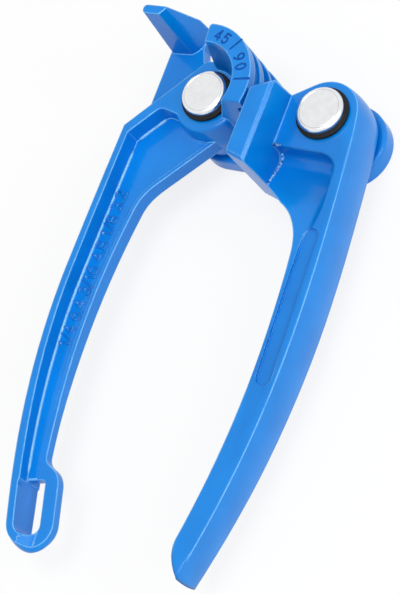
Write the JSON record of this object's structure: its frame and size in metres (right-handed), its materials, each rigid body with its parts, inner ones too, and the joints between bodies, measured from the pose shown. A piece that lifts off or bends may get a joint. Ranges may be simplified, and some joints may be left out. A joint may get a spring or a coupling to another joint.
{
  "type": "tube bender",
  "caption": "Plier-type hand tube bender: a handle with a grooved former, hook and angle dial, linked to a second handle whose shoe presses the tube round the former.",
  "frame": {"origin": "on the axis of the form pivot, at the underside of the rear link", "axes": "+X from the form pivot to the shoe pivot, +Y away from the handles, +Z along the pivots towards the pin heads"},
  "size_m": [0.0807, 0.1625, 0.0335],
  "materials": {
    "blue_enamel": "gloss",
    "pin_steel": "satin",
    "black_rubber": "matt",
    "bare_steel": "satin"
  },
  "bodies": {
    "form_body": {"form_handle": "blue_enamel"},
    "link_body": {"rear_link": "blue_enamel", "form_pivot_pin": "pin_steel", "form_head_ring": "black_rubber", "form_thrust_washer": "bare_steel", "form_circlip": "bare_steel", "shoe_pivot_pin": "pin_steel", "shoe_head_ring": "black_rubber", "shoe_thrust_washer": "bare_steel", "shoe_circlip": "bare_steel"},
    "shoe_body": {"shoe_handle": "blue_enamel"}
  },
  "joints": [
    {"name": "link_swing", "type": "hinge", "parent": "form_body", "child": "link_body", "pos_m": [0, 0, 0], "axis": [0, 0, 1], "range_deg": [-10, 100]},
    {"name": "shoe_swing", "type": "hinge", "parent": "link_body", "child": "shoe_body", "pos_m": [0.0381, 0, 0], "axis": [0, 0, 1], "range_deg": [-5, 110]}
  ]
}
